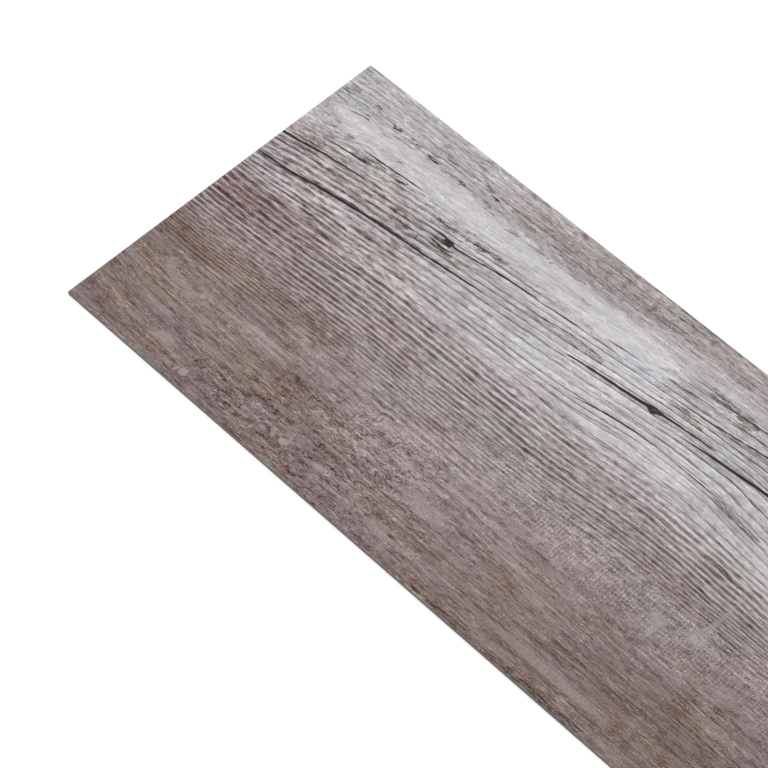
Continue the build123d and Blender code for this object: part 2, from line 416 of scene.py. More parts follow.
def patched(field, s, y, patches):
    """A field plus the patches of a table, each times its change."""
    for *oval, change in patches:
        field = field + change * patch(s, y, *oval)
    return field


def swing_at(s):
    """How far the print has swung at s from its look by the left end, 0, to the other, 1."""
    return eased(s, SWING_PLACES, SWING, 20)


def swung(s, y, left, right):
    """A table across the plank by the left end and the other one, mixed by the swing at s."""
    swing = swing_at(s)
    return eased(y, TONE_LINES, left, 3) * (1 - swing) + eased(y, TONE_LINES, right, 3) * swing


def grain_height(s, v):
    """Height y at which grain line v runs at s: v, plus its shares of the two climbs, plus the
    waves, each a bell in s times a bell in v. The waves fade out towards both long edges."""
    y = v + eased(s, CLIMB_PLACES, CLIMB, 12) * eased(v, CLIMB_LINES, CLIMB_SHARE, 3)
    y = y + eased(s, SWELL_PLACES, SWELL, 8) * eased(v, SWELL_LINES, SWELL_SHARE, 3)
    inside = np.clip(1 - (v / (HALF_WIDTH - 4)) ** 16, 0, 1)
    for along, line, height, half_length, half_breadth in WAVES:
        bell = np.exp(-((s - along) / half_length) ** 2 - ((v - line) / half_breadth) ** 2)
        y = y + height * bell * inside
    return y


def rib_table(pitch):
    """Grain lines in fine steps and the number of ribs up to each: the sum of 1 / pitch, which
    varies from zone to zone and a little from rib to rib."""
    lines = np.linspace(-HALF_WIDTH - 1, HALF_WIDTH + 1, 3001)
    uneven = 1 + 0.28 * clouds(lines, lines, 3.1, 500, 41) + 0.1 * clouds(lines, lines, 9, 500, 42)
    density = uneven / (pitch * np.interp(lines, PITCH_LINES, PITCH_SHARE))
    return lines, np.cumsum(density) * (lines[1] - lines[0])


def rib_wander(s, v):
    """How far the ribs stray from their grain lines, in ribs: further near the upper edge."""
    stray = 0.13 * clouds(s, v, 21, 6, 31) + 0.10 * clouds(s, v, 9, 3, 30)
    return stray * eased(v, (-90, 52, 60, 90), (1, 1, 2.4, 2.4), 2)


def crack_lines():
    """Every crack as points (place along, height y, half breadth)."""
    lines = [np.array(points, float) for points in CRACKS]
    for middle, line, half_length, half_breadth in CRACKS_WITH_THE_GRAIN:
        t = np.linspace(-1, 1, 9)
        places = middle + half_length * t
        breadth = half_breadth * (1 - t ** 2) * (1 + 0.3 * np.sin(5 * t + middle))
        lines.append(np.stack([places, grain_height(places, np.full(9, float(line))), breadth], axis=1))
    return lines


def crack_layers(lines, clearance=4.4):
    """Cracks shared out over layers, so that those in one layer keep clear of each other."""
    layers = []
    for line in sorted(lines, key=lambda points: points[0, 0]):
        for layer in layers:
            if all(clear_of(line, other, clearance) for other in layer):
                layer.append(line)
                break
        else:
            layers.append([line])
    return layers


def clear_of(one, other, clearance):
    """Whether two cracks are apart along the plank, or keep a distance across it."""
    start, end = max(one[0, 0], other[0, 0]) - 8, min(one[-1, 0], other[-1, 0]) + 8
    if start > end:
        return True
    places = np.linspace(start, end, 20)
    apart = np.interp(places, one[:, 0], one[:, 1]) - np.interp(places, other[:, 0], other[:, 1])
    return np.abs(apart).min() > clearance


def crack_fields(s, y, layer):
    """Signed distance from the layer's nearest crack and that crack's half breadth. Both hold
    close to a crack only: the distance within CRACK_REACH, and the breadth within the smaller
    CRACK_CORE, so that the distance passes zero nowhere but in a crack."""
    distance, breadth = np.full(s.shape, CRACK_FAR), np.zeros(s.shape)
    for points in layer:
        away = y - eased(s, points[:, 0], points[:, 1], 1.6)
        near = (np.abs(away) < CRACK_REACH) & (s > points[0, 0] - 6) & (s < points[-1, 0] + 6)
        along = np.interp(s, points[:, 0], points[:, 2], left=0 if points[0, 0] > 0 else None, right=0)
        distance = np.where(near, away, distance)
        breadth = np.where(near & (np.abs(away) < CRACK_CORE), along, breadth)
    return distance, breadth


def all_flecks():
    """The flecks and pale spots above, the spots with a depth below 0 and, along the rest of the
    plank, more of both in scattered places."""
    dice = np.random.default_rng(5)
    more = []
    for place in np.arange(296, 905, 11.5):
        height = dice.choice([dice.uniform(22, 46), dice.uniform(56, 68), dice.uniform(30, 42)])
        more.append((place + dice.uniform(-3, 3), height, dice.uniform(2, 6), dice.uniform(0.6, 1.6),
                     dice.uniform(0.3, 0.7)))
        more.append((place + dice.uniform(-5, 5), dice.uniform(-70, -40), dice.uniform(3, 9),
                     dice.uniform(0.5, 1.8), dice.uniform(-0.5, 0.25)))
    knots = ((392, 37.5, 3.6, 1.8, 1.0), (598, 33.6, 3.2, 1.5, 1.0), (846, 36.5, 3.8, 2.0, 1.0))
    pale = tuple((*spot[:4], -spot[4]) for spot in PALE_SPOTS)
    return FLECKS + pale + tuple(more) + knots


def grain_lean(along, height):
    """Slope of the grain at one place."""
    lines = np.linspace(-HALF_WIDTH, HALF_WIDTH, 200)
    line = np.interp(height, grain_height(np.full(200, float(along)), lines), lines)
    before, after = grain_height(np.array([along - 1.0, along + 1.0]), np.full(2, line))
    return (after - before) / 2


def fleck_fields(s, y):
    """Place in the nearest fleck, in half lengths along the grain and half breadths across it
    from its middle, its depth of tone and how sharply it is outlined with a dark line that is
    mostly painted shade, which is less for a long one. Away from every fleck the depth is 0, so that
    nothing shows half-way between two."""
    nearest = np.full(s.shape, FLECK_REACH ** 2)
    across, up, depth, sharp = (np.full(s.shape, value) for value in (FLECK_FAR, FLECK_FAR, 0.0, 0.0))
    for along, height, half_length, half_breadth, tone in all_flecks():
        i = (s - along) / half_length
        j = (y - height - grain_lean(along, height) * (s - along)) / half_breadth
        here = i ** 2 + j ** 2 < nearest
        nearest = np.where(here, i ** 2 + j ** 2, nearest)
        across, up, depth = np.where(here, i, across), np.where(here, j, up), np.where(here, tone, depth)
        sharp = np.where(here, min(1.0, max(0.15, 1.6 - half_length / 4)), sharp)
    return across, up, depth * (nearest < FLECK_CORE ** 2), sharp


def tone_fields(s, y, v):
    """Tone of the print from 0 to 1, and its shares of mauve, olive and russet tint."""
    tone = patched(swung(s, y, TONES_LEFT, TONES_RIGHT), s, y, PATCHES)
    warmth = swung(s, y, WARMTH_LEFT, WARMTH_RIGHT) + 0.25 * clouds(s, y, 14, 5, 14)
    olive = 0.5 + 0.5 * clouds(s, y, 26, 6.5, 11) + 0.3 * clouds(s, y, 11, 4, 12)
    olive = patched(olive * eased(y, (-76, -44, -34, -20), (1, 1, 0.4, 0.2), 2), s, y, OLIVE_PATCHES)
    russet = patched(0.0, s, y, RUSSET_PATCHES) + 0.25 * clouds(s, y, 20, 5, 13) * (y < 12)
    return tone / 255, np.clip(warmth, 0, 1.2), np.clip(olive, 0, 1), np.clip(russet, 0, 1)


def spread_fields(s, y, ring, pitch):
    """Distance between two ribs across the grain, mm, the share by which the grain lines have
    spread there, and the share of chips in the old paint."""
    spacing = np.gradient(y, axis=0) / np.maximum(np.gradient(ring, axis=0), 0.02)
    lines, ribs = rib_table(pitch)
    plain = 1 / np.interp(ring, ribs, np.gradient(ribs, lines))
    chips = eased(y, (56, 61, 90), (0, 1, 1), 1.5)
    chips = chips * eased(s, (0, 60, 100, 140, 175, 300, 914), (0.7, 0.7, 0.9, 0.9, 0.35, 0.6, 0.9), 5)
    beyond = 0.5 * eased(y, (61, 65, 90), (0, 1, 1), 1.5)
    chips = chips + beyond * eased(s, (0, 130, 160, 914), (0, 0, 1, 1), 5)
    chips = patched(chips, s, y, CHIP_PATCHES)
    return np.clip(spacing, 0.3, 12), np.clip(spacing / plain, 0.1, 6), np.clip(chips, 0, 1)


def form_fields(s, y, v):
    """Shares of the ribs, of the limed wood, of the bare smooth wood and of the blistered skin."""
    ribs = eased(v, (-38, -31, -20, -15, 10, 20, 38, 44, 56, 62),
                 (0.1, 0.65, 0.7, 1, 1, 1, 0.85, 0.2, 0.15, 0.65), 2)
    swing = swing_at(s)
    ribs = ribs * (0.85 + 0.3 * clouds(s, v, 45, 6, 21)) * (1 - 0.12 * swing)
    ribs = ribs * (1 - 0.4 * patch(s, y, 12, 68, 34, 8))
    limed = eased(v + 4.5 * swing, (-10, 2, 8, 12, 110), (0, 0, 0.6, 1, 1), 2)
    early = eased(v, (-90, 16, 24, 44, 54, 90), (0, 0, 0.45, 0.45, 1, 1), 2)
    limed = limed * np.maximum(0.2 + 0.8 * swing, early)
    bare = eased(y, (42, 49, 58, 61), (0, 1, 1, 0), 1.5)
    bare = bare * eased(s, (0, 14, 24, 156, 178, 194, 205, 230, 330, 420, 560, 640, 914),
                        (0.3, 0.7, 1, 1, 0.5, 0.2, 0.3, 0.5, 0.8, 0.1, 0.1, 0.9, 0.4), 8)
    blisters = patched(0.0, s, y, BLISTER_PATCHES)
    return np.clip(ribs, 0, 1), np.clip(limed, 0, 1), np.clip(bare, 0, 1), np.clip(blisters, 0, 1)


def figure_fields(s, y, v):
    """Strength of the figure, of the saw marks, of the smudges in the furrows and of the lichen tint."""
    strength = eased(y, (-76, -30, -14, 16, 46, 60, 76), (0.8, 0.8, 1, 1, 1.1, 0.9, 0.9), 3)
    saw, smudges = patched(0.0, s, y, SAW_PATCHES), patched(0.0, s, y, SMUDGE_PATCHES)
    lichen = clouds(s, y, 17, 6, 15) * eased(y, (-90, -26, -14, 90), (0, 0, 1, 1), 2)
    lichen = lichen * np.maximum(eased(s, (0, 66, 92, 914), (0.1, 0.15, 1, 1), 5),
                                 eased(y, (-90, 14, 26, 90), (0, 0, 1, 1), 2))
    lichen = patched(lichen, s, y, LICHEN_PATCHES)
    return strength, np.clip(saw, 0, 1), np.clip(smudges, 0, 1), np.clip(0.75 * lichen, 0, 0.75)


# Meshes

def face_rows(pitch):
    """Grain lines of the mesh's rows: on the ribs, in the furrows and half-way between, with
    twice as many where the grain later spreads."""
    lines, ribs = rib_table(pitch)
    first, last = np.interp([-HALF_WIDTH + 0.4, HALF_WIDTH - 0.4], lines, ribs)
    quarters = np.arange(math.ceil(first * 4), math.floor(last * 4) + 1) / 4
    rows = np.interp(quarters, ribs, lines)
    spreading = (rows[1:] + rows[:-1])[(rows[1:] > 9) & (rows[1:] < 18)] / 2
    return np.sort(np.concatenate([rows, spreading]))


def relief(s, y, v, ring, layers, settings):
    """Depth of the embossed face under its highest places, mm: furrows between the ribs as a
    cosine of the rib's number, a bell across each crack, dents at the flecks and a random
    unevenness that is long with the grain and narrow across it."""
    ribs, limed, bare, blisters = form_fields(s, y, v)
    furrow = 0.5 - 0.5 * np.cos(2 * math.pi * ring)
    furrow = furrow ** (1 + 1.5 * limed)
    depth = settings.rib_depth * ribs * furrow * (0.75 + 0.25 * clouds(s, v, 18, 3, 32))
    for layer in layers:
        distance, breadth = crack_fields(s, y, layer)
        bell = np.exp(-(distance / (breadth + CRACK_SLOPE)) ** 2)
        depth = np.maximum(depth, settings.crack_depth * np.clip(breadth / CRACK_FULL, 0, 1) * bell)
    across, up, tone, _ = fleck_fields(s, y)
    depth = np.maximum(depth + FLECK_DENT * tone * np.exp(-across ** 2 - up ** 2), 0)
    uneven = 0.012 * (1 + clouds(s, v, 9, 1.3, 33)) + 0.016 * (1 + clouds(s, y, 4, 2.6, 34)) * blisters
    return depth + uneven * (1 - 0.7 * bare)


def grid_faces(rows, columns):
    """Quads of a grid of points, numbered row by row, wound to face up where the rows climb
    in y and the columns in x."""
    start = (np.arange(rows - 1)[:, None] * columns + np.arange(columns - 1)[None, :]).ravel()
    return np.stack([start, start + 1, start + columns + 1, start + columns], axis=1)


def ring_strip(upper, lower):
    """Quads between two rings of points, one below the other, wound to face outwards where
    the rings run against the clock seen from above."""
    return np.stack([upper, lower, np.roll(lower, -1), np.roll(upper, -1)], axis=1)


def mesh_from(name, points, quads, cap):
    """A mesh from points in millimetres, quads and one many-sided face."""
    mesh = bpy.data.meshes.new(name)
    corners = np.concatenate([quads.ravel(), cap])
    starts = np.concatenate([np.arange(len(quads)) * 4, [len(quads) * 4]])
    mesh.vertices.add(len(points))
    mesh.vertices.foreach_set("co", (points * MM).astype(np.float32).ravel())
    mesh.loops.add(len(corners))
    mesh.loops.foreach_set("vertex_index", corners.astype(np.int32))
    mesh.polygons.add(len(starts))
    mesh.polygons.foreach_set("loop_start", starts.astype(np.int32))
    mesh.update(calc_edges=True)
    mesh.validate()
    return mesh


def store(mesh, name, columns):
    """Keeps values that the material reads, three or four for each point."""
    kind = {3: "FLOAT_VECTOR", 4: "FLOAT_COLOR"}[len(columns)]
    field = {3: "vector", 4: "color"}[len(columns)]
    values = np.stack([np.asarray(c, np.float32).ravel() for c in columns], axis=1)
    mesh.attributes.new(name, kind, "POINT").data.foreach_set(field, values.ravel())


def plank_mesh(settings, layers):
    """The plank: an embossed face whose rows follow the grain, a rolled-over arris and straight
    walls all round, and a flat glue side.

    The face is a grid in s and v at height y = grain_height(s, v), its cells shorter over the
    first third, where the cracks curl. Its rim is carried outwards and down along a quarter
    circle for the arris, then straight down for the wall."""
    radius = settings.arris_radius
    rim_y = HALF_WIDTH - radius
    lines = face_rows(settings.rib_pitch)
    share = np.linspace(0, 1, settings.cells_along + 1)
    places = np.interp(share, (0, FIRST_THIRD, 1), (radius, LENGTH / 3, LENGTH - radius))
    s, v = np.meshgrid(places, np.concatenate([[-rim_y], lines, [rim_y]]))
    y = np.clip(grain_height(s, v), -rim_y, rim_y)
    y[0], y[-1] = -rim_y, rim_y
    wander = rib_wander(s, v)
    ring = np.interp(v, *rib_table(settings.rib_pitch)) + wander
    depth = relief(s, y, v, ring, layers, settings)
    spread = spread_fields(s, y, ring, settings.rib_pitch)
    face = np.stack([s - LENGTH / 2, y, FACE_Z - depth], axis=-1).reshape(-1, 3)

    rows, columns = s.shape
    number = np.arange(rows * columns).reshape(rows, columns)
    rim = np.concatenate([number[0, :-1], number[:-1, -1], number[-1, :0:-1], number[:0:-1, 0]])
    row, column = np.divmod(rim, columns)
    way = [(at == last) * 1.0 - (at == 0) for at, last in ((column, columns - 1), (row, rows - 1))]
    way = np.stack(way, axis=1)

    points, quads, upper = [face], [grid_faces(rows, columns)], rim
    count = len(face)
    for degrees, drop in ((30, None), (60, None), (90, None), (90, FACE_Z - GLUE_Z)):
        turn = math.radians(degrees)
        drop = radius * (1 - math.cos(turn)) if drop is None else drop
        ring_points = face[rim].copy()
        ring_points[:, :2] += way * radius * math.sin(turn)
        ring_points[:, 2] = FACE_Z - drop - depth.ravel()[rim] * math.cos(turn)
        lower = count + np.arange(len(rim))
        points.append(ring_points)
        quads.append(ring_strip(upper, lower))
        upper, count = lower, count + len(rim)
    mesh = mesh_from("vinyl_plank_printed", np.concatenate(points), np.concatenate(quads), upper[::-1])

    again = np.concatenate([np.arange(rows * columns)] + [rim] * 4)
    s, y, v, ring, wander = (a.ravel()[again] for a in (s, y, v, ring, wander))
    store(mesh, "grain", (s, v + 2 * wander, ring))
    store(mesh, "spread", [field.ravel()[again] for field in spread])
    store(mesh, "tones", tone_fields(s, y, v))
    store(mesh, "forms", form_fields(s, y, v))
    store(mesh, "figure", figure_fields(s, y, v))
    store(mesh, "flecks", fleck_fields(s, y))
    for number, layer in enumerate(layers):
        store(mesh, f"cracks_{number}", (*crack_fields(s, y, layer), s))
    return mesh


# Shader building blocks

class Nodes:
    """Places nodes in a tree and joins them, so that a material reads as a few short lines."""

    def __init__(self, tree):
        self.tree = tree

    def add(self, kind, **values):
        node = self.tree.nodes.new(kind)
        for name, value in values.items():
            setattr(node, name, value)
        return node

    def feed(self, socket, value):
        if isinstance(value, bpy.types.NodeSocket):
            self.tree.links.new(value, socket)
        else:
            socket.default_value = value

    def math(self, operation, a, b=0.0, c=None):
        node = self.add("ShaderNodeMath", operation=operation)
        self.feed(node.inputs[0], a)
        self.feed(node.inputs[1], b)
        if c is not None:
            self.feed(node.inputs[2], c)
        return node.outputs[0]

    def product(self, first, *others):
        for other in others:
            first = self.math("MULTIPLY", first, other)
        return first

    def less(self, a, b):
        return self.math("SUBTRACT", a, b)

    def rest(self, share):
        return self.less(1.0, share)

    def apart(self, a, b):
        """How far two values are apart."""
        return self.math("ABSOLUTE", self.less(a, b))

    def step(self, value, low, high, to_low=0.0, to_high=1.0):
        """Smoothstep from to_low, where value is low, to to_high, where it is high."""
        node = self.add("ShaderNodeMapRange", interpolation_type="SMOOTHSTEP")
        for place, entry in enumerate((value, low, high, to_low, to_high)):
            self.feed(node.inputs[place], entry)
        return node.outputs[0]

    def total(self, start, *terms):
        """Start plus each term, a number followed by the masks that it is multiplied by."""
        for amount, *masks in terms:
            start = self.math("MULTIPLY_ADD", self.product(*masks), amount, start)
        return start

    def vector(self, operation, a, b):
        node = self.add("ShaderNodeVectorMath", operation=operation)
        self.feed(node.inputs[0], a)
        self.feed(node.inputs[3 if operation == "SCALE" else 1], b)
        return node.outputs[0]

    def combine(self, x, y, z=0.0):
        node = self.add("ShaderNodeCombineXYZ")
        for socket, value in zip(node.inputs, (x, y, z)):
            self.feed(socket, value)
        return node.outputs[0]

    def mix(self, share, a, b):
        """Colour a where the share is 0 and b where it is 1, each a socket or three numbers."""
        node = self.add("ShaderNodeMix", data_type="RGBA")
        self.feed(node.inputs["Factor"], share)
        for place, colour in ((6, a), (7, b)):
            linked = isinstance(colour, bpy.types.NodeSocket)
            self.feed(node.inputs[place], colour if linked else (*colour, 1.0))
        return node.outputs[2]

    def values(self, name):
        """A stored attribute as its parts, the fourth from its alpha, and as a vector."""
        node = self.add("ShaderNodeAttribute", attribute_name=name)
        parts = self.add("ShaderNodeSeparateXYZ")
        self.feed(parts.inputs[0], node.outputs["Vector"])
        return [*parts.outputs, node.outputs["Alpha"]], node.outputs["Vector"]

    def group(self, tree, **inputs):
        node = self.add("ShaderNodeGroup", node_tree=tree)
        for name, value in inputs.items():
            self.feed(node.inputs[name], value)
        return node.outputs[0]

    def emboss(self, shader, level, depth, strength=1.0):
        """Bump from a level, depth mm deep where the level is 1."""
        bump = self.add("ShaderNodeBump")
        self.feed(bump.inputs["Height"], level)
        self.feed(bump.inputs["Distance"], depth * MM)
        self.feed(bump.inputs["Strength"], strength)
        self.feed(shader.inputs["Normal"], bump.outputs[0])


def fibre_group():
    """Fibre: noise from -0.5 to 0.5, stretched to a length along the grain and a width across."""
    tree = bpy.data.node_groups.new("Fibre", "ShaderNodeTree")
    sockets = {"Place": (0.0, 0.0, 0.0), "Length": 10.0, "Width": 1.0, "Seed": 0.0, "Detail": 2.0}
    for label, default in sockets.items():
        kind = "NodeSocketVector" if isinstance(default, tuple) else "NodeSocketFloat"
        tree.interface.new_socket(label, in_out="INPUT", socket_type=kind).default_value = default
    tree.interface.new_socket("Value", in_out="OUTPUT", socket_type="NodeSocketFloat")
    nodes = Nodes(tree)
    given = nodes.add("NodeGroupInput").outputs
    cell = nodes.combine(given["Length"], given["Width"], 1.0)
    scaled = nodes.vector("DIVIDE", given["Place"], cell)
    away = nodes.combine(nodes.product(given["Seed"], 7.13), nodes.product(given["Seed"], 3.71))
    noise = nodes.add("ShaderNodeTexNoise", noise_dimensions="2D")
    nodes.feed(noise.inputs["Vector"], nodes.vector("ADD", scaled, away))
    nodes.feed(noise.inputs["Scale"], 1.0)
    nodes.feed(noise.inputs["Detail"], given["Detail"])
    nodes.feed(noise.inputs["Roughness"], 0.55)
    out = nodes.add("NodeGroupOutput").inputs[0]
    nodes.feed(out, nodes.less(noise.outputs[0], 0.5))
    return tree


def new_material(name):
    """A material with its Principled shader ready to be fed."""
    material = bpy.data.materials.new(name)
    material.use_nodes = True
    material.node_tree.nodes.clear()
    nodes = Nodes(material.node_tree)
    shader = nodes.add("ShaderNodeBsdfPrincipled")
    output = nodes.add("ShaderNodeOutputMaterial")
    nodes.feed(output.inputs["Surface"], shader.outputs[0])
    return material, nodes, shader


def printed_vinyl(settings, fibre, layer_count):
    """Weathered wood printed under a clear wear layer: the lightness of the print is built up
    from its fields, fibres, ribs, cracks and flecks, and is then tinted patch by patch."""
    material, nodes, shader = new_material("Printed vinyl")
    step, product, total, rest, apart = nodes.step, nodes.product, nodes.total, nodes.rest, nodes.apart
    (s, v, ring, _), place = nodes.values("grain")
    (tone, warmth, olive, russet), _ = nodes.values("tones")
    (ribs, limed, bare, blisters), _ = nodes.values("forms")
    (strength, saw, smudges, lichen), _ = nodes.values("figure")
    (spacing, spread, chips, _), _ = nodes.values("spread")
    flat = nodes.vector("SCALE", nodes.add("ShaderNodeTexCoord").outputs["Object"], 1 / MM)
    printed = tone

    # Shares of the sawn wood on the lower grain lines, of its straight-grained part further
    # along, and of the places where the grain lines have spread
    low = step(v, -22.0, -38.0)
    straight = product(step(s, 130.0, 175.0), step(v, -34.0, -42.0))
    wide = step(spread, 1.25, 2.1)

    def noise(length, width, seed, detail=2.0, at=place):
        return nodes.group(fibre, Place=at, Length=length, Width=width, Seed=seed, Detail=detail)

    def own(number, length, seed):
        """Noise that belongs to one rib or furrow and changes along it only."""
        return noise(length, 1.0, seed, 1.0, nodes.combine(s, product(number, 3.7)))

    def fibres(length, width, seed, detail=2.0):
        """Noise along the grain that stays as narrow where the grain lines spread."""
        usual = noise(length, width, seed, detail)
        dense = noise(1.3 * length, 0.42 * width, seed + 40.0, detail)
        return total(usual, (1.0, wide, nodes.less(dense, usual)))

    # Irregular smooth isles in the sawn wood, paler and less fibrous than what lies between
    bend = nodes.combine(product(noise(5.0, 3.0, 15.0), 7.0), product(noise(6.0, 3.2, 16.0), 6.0))
    bent = nodes.vector("ADD", place, bend)
    isle = product(step(noise(17.0, 3.6, 17.0, 2.0, bent), 0.0, 0.06), low)

    # Old paint that has held on in the bare patch, its edge torn along the fibres
    torn = total(bare, (1.5, noise(8.0, 2.2, 21.0, 4.0)))
    paint = step(torn, 0.44, 0.56)
    near_paint = step(bare, 0.04, 0.3)
    worn = product(rest(paint), near_paint)
    torn_edge = product(step(apart(torn, 0.46), 0.07, 0.0), near_paint,
                        step(noise(3.0, 1.2, 22.0), -0.02, 0.07))

    # The noises that more than one part of the figure uses, and the shares that soften them
    cloud, mottle, dapple = noise(24.0, 6.0, 1.0), noise(7.0, 2.0, 2.0, 3.0), noise(2.6, 1.3, 12.0, at=flat)
    long_fibre, short_fibre = fibres(22.0, 0.9, 3.0, 3.0), fibres(4.0, 0.5, 4.0)
    speck, grit = noise(1.0, 0.65, 5.0, 1.0, flat), noise(0.5, 0.42, 13.0, 1.0, flat)
    thread, weft = noise(3.0, 0.34, 29.0, 1.0), noise(0.8, 3.4, 28.0, 1.0)
    crowded = step(spacing, 3.0, 4.2, 1.0, 0.2)
    rough = product(strength, step(paint, 0.0, 1.0, 1.05, 0.66), step(isle, 0.0, 1.0, 1.1, 0.65))
    clean = product(rough, step(limed, 0.3, 0.9, 1.0, 0.42), step(saw, 0.0, 1.0, 1.0, 0.65))
    ribs = product(ribs, step(saw, 0.0, 1.0, 1.0, 0.6))
    brown = rest(limed)

    # Fibres
    gritty = product(rough, step(brown, 0.0, 1.0, 0.6, 1.0), step(ribs, 0.3, 1.0, 1.0, 0.45))
    hatched = nodes.math("MAXIMUM", saw, product(low, 0.3))
    soft = product(clean, step(low, 0.0, 1.0, 1.0, 0.75), step(straight, 0.0, 1.0, 1.0, 0.7))
    ground = total(tone, (0.14, cloud), (0.22, speck, gritty), (0.42, grit, gritty), (0.03, isle), (-0.01, low),
                   (0.20, thread, rough), (0.19, weft, hatched), (0.16, grit, saw), (0.12, thread, saw))
    tone = total(ground, (0.26, mottle, soft), (0.20, dapple, soft), (0.30, long_fibre, clean),
                 (0.36, short_fibre, clean), (0.16, noise(70.0, 1.2, 18.0), low),
                 (0.20, noise(60.0, 0.6, 27.0), straight), (0.16, mottle, chips), (0.07, cloud, low),
                 (0.10, mottle, paint), (0.14, noise(13.0, 4.6, 32.0), paint))

    # Dark dashes, pale dashes, smudges and the chips and scuffs of the old paint
    dark_dash = product(step(noise(6.0, 0.6, 8.0), 0.09, 0.15), clean)
    pale_dash = product(step(noise(7.0, 0.5, 9.0), 0.09, 0.16), clean)
    smudge = product(step(noise(11.0, 1.7, 10.0, 3.0), 0.03, 0.09), smudges, rest(paint))
    chip = product(step(noise(3.6, 1.0, 23.0, 3.0), 0.05, 0.11), chips)
    scuff = product(step(noise(4.5, 0.9, 24.0, 3.0), 0.05, 0.12), chips)
    tone = total(tone, (-0.10, dark_dash), (0.08, pale_dash), (-0.15, smudge), (-0.12, chip), (0.07, scuff),
                 (0.02, paint), (-0.05, worn), (-0.12, torn_edge))

    # Ribs: a narrow pale crest and a broad dark furrow, or in limed wood a narrow dark line with
    # a soft shade over it, a pale lip under it and a fainter line between where they lie far apart
    ring = total(ring, (0.2, short_fibre))
    phase = nodes.math("COSINE", product(ring, 2 * math.pi))
    furrow_number, crest_number = nodes.math("FLOOR", ring), nodes.math("ROUND", ring)
    above_furrow = product(nodes.math("FRACT", nodes.math("ADD", ring, 0.5)), spacing)
    off_furrow = product(apart(nodes.math("FRACT", ring), 0.5), spacing)
    off_crest = product(apart(ring, crest_number), spacing)
    furrow = product(step(phase, 0.35, -0.5), ribs, brown, crowded)
    blotch = product(furrow, step(noise(5.0, 1.3, 7.0), -0.03, 0.09), step(smudges, 0.0, 1.0, 0.35, 1.1))
    deep = product(furrow, step(own(furrow_number, 30.0, 19.0), -0.06, 0.1))
    blank = step(bare, 0.15, 0.6)
    line_share = product(ribs, limed, step(own(furrow_number, 60.0, 14.0), -0.1, 0.12, 0.6, 1.05),
                         step(blank, 0.0, 1.0, 1.0, 0.12))
    vein = product(step(off_furrow, 0.42, 0.1), line_share)
    shade = product(step(above_furrow, 2.2, 0.3), line_share)
    lip = product(step(nodes.less(spacing, above_furrow), 1.8, 0.4), line_share)
    hair = product(step(off_crest, 0.36, 0.08), limed, step(spacing, 2.3, 3.4), rest(blank),
                   step(own(crest_number, 40.0, 25.0), -0.04, 0.12))
    band = own(crest_number, 45.0, 35.0)
    tone = total(tone, (-0.06, furrow), (-0.10, deep), (-0.17, blotch), (-0.37, vein), (-0.08, shade),
                 (0.04, lip), (-0.16, hair), (0.16, band, limed, rest(blank)))
    crest = product(step(phase, 0.5, 0.95), ribs, brown, crowded,
                    step(own(crest_number, 34.0, 6.0), -0.18, 0.06, 0.55, 0.95))
    rise = step(printed, 0.56, 0.74, 0.19, 0.10)
    above = nodes.less(total(ground, (0.12, long_fibre), (1.0, rise)), tone)
    tone = total(tone, (1.0, crest, above))

    # Blisters: scabs of skin with painted light on their upper left sides and painted shade on the
    # others, which is their height less the height a little nearer to the light
    towards_light = nodes.vector("ADD", bent, (-0.3, 0.4, 0.0))
    scab, scab_towards_light = noise(5.0, 2.8, 11.0, 2.0, bent), noise(5.0, 2.8, 11.0, 2.0, towards_light)
    pimple, pimple_towards_light = noise(2.2, 1.3, 26.0, 2.0, bent), noise(2.2, 1.3, 26.0, 2.0, towards_light)
    # rim: painted light along each scab's upper left edge and painted shade along its other edges
    rim = nodes.less(step(scab, -0.01, 0.02), step(scab_towards_light, -0.01, 0.02))
    # Painted light and shade on the scabs and pimples, the scabs' own pattern, and a slight darkening along
    # both edges that dims the painted light and deepens the painted shade
    tone = total(tone, (0.12, rim, blisters), (0.32, nodes.less(scab, scab_towards_light), blisters),
                 (0.10, scab, blisters), (0.17, nodes.less(pimple, pimple_towards_light), blisters),
                 (-0.04, nodes.math("ABSOLUTE", rim), blisters))

    # Saw marks across the grain
    tooth = nodes.math("SINE", total(product(s, 2 * math.pi / SAW_PITCH), (14.0, cloud)))
    tone = total(tone, (0.028, tooth, saw))

    # Flecks: dark pits and smooth pale spots, with a dark outline that is painted shade on their
    # lower right and faint elsewhere; the deepest pits are knots
    (along, up, depth, sharp), _ = nodes.values("flecks")
    radius = nodes.math("MULTIPLY_ADD", along, along, product(up, up))
    knot = step(depth, 0.85, 1.0)
    frayed = product(step(depth, -0.05, 0.2, 0.5, 1.0), step(knot, 0.0, 1.0, 1.0, 0.85))
    radius = total(radius, (2.2, mottle, frayed), (1.8, dapple, frayed), (1.2, short_fibre, frayed))
    radius = nodes.math("SQRT", nodes.math("MAXIMUM", radius, 0.0))
    sunk, raised = nodes.math("MAXIMUM", depth, 0.0), nodes.math("MAXIMUM", product(depth, -1.0), 0.0)
    inside = step(radius, 1.15, 0.8)
    # A dark ring round each fleck, faint on its upper left and strong on its lower right, where it is painted
    # shade
    outline_and_painted_shade = product(step(apart(radius, 0.9), 0.3, 0.05), step(total(up, (-0.6, along)), 0.7, -0.6, 0.15, 1.0),
                      sharp)
    pit = product(inside, sunk)
    spot = product(inside, nodes.math("MINIMUM", product(raised, 2.0), 1.0))
    heart = product(step(radius, 0.95, 0.5), knot, 0.88)
    smooth = total(printed, (0.13, raised), (0.04, inside), (0.12, mottle), (0.2, speck))
    above = nodes.less(smooth, tone)
    tone = total(tone, (-0.24, pit), (0.5, speck, pit), (1.0, short_fibre, pit), (-0.24, outline_and_painted_shade, sunk),
                 (1.0, spot, above), (-0.14, outline_and_painted_shade, raised))

